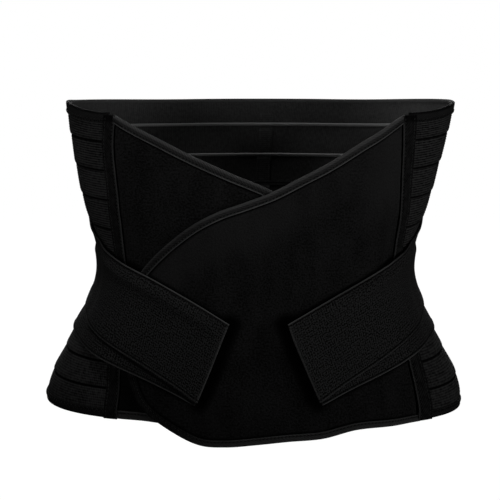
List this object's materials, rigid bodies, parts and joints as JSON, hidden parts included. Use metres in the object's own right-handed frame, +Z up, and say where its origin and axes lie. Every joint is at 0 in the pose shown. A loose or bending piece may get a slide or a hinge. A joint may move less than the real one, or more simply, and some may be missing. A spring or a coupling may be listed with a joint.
{
  "type": "postpartum belly wrap",
  "caption": "Black belly binder in its worn form: ribbed elastic round the back and sides, plush panels crossing in a V at the front, and slanting straps that tighten it.",
  "frame": {"origin": "centre of the hollow at the waist, the narrowest level, where the wearer's waist is", "axes": "+Z up along the wearer's body, the front with the crossed panels faces -Y, +X to the right as seen from the front"},
  "size_m": [0.3503, 0.2547, 0.2672],
  "materials": {
    "elastic": "ribbed elastic, matte",
    "plush": "brushed loop cloth, very matte",
    "trim": "woven binding tape, slight sheen",
    "webbing": "woven elastic webbing, matte",
    "hook": "nylon hook tape, matte"
  },
  "bodies": {
    "root": {"elastic_band_01": "elastic", "elastic_band_02": "elastic", "elastic_band_03": "elastic", "elastic_band_04": "elastic", "elastic_band_05": "elastic", "elastic_band_06": "elastic", "elastic_band_07": "elastic", "elastic_band_08": "elastic", "elastic_band_09": "elastic", "elastic_band_10": "elastic", "top_hem": "trim", "bottom_hem": "trim", "side_tape_left": "trim", "side_tape_right": "trim", "spine_tape": "trim", "spine_channel": "trim", "front_panel_under": "plush", "front_panel_over": "plush", "binding_under": "trim", "binding_over": "trim", "closure_hook": "hook", "strap_lower_left": "webbing", "strap_upper_left": "webbing", "strap_hook_left": "hook", "strap_lower_right": "webbing", "strap_upper_right": "webbing", "strap_hook_right": "hook"}
  },
  "joints": []
}
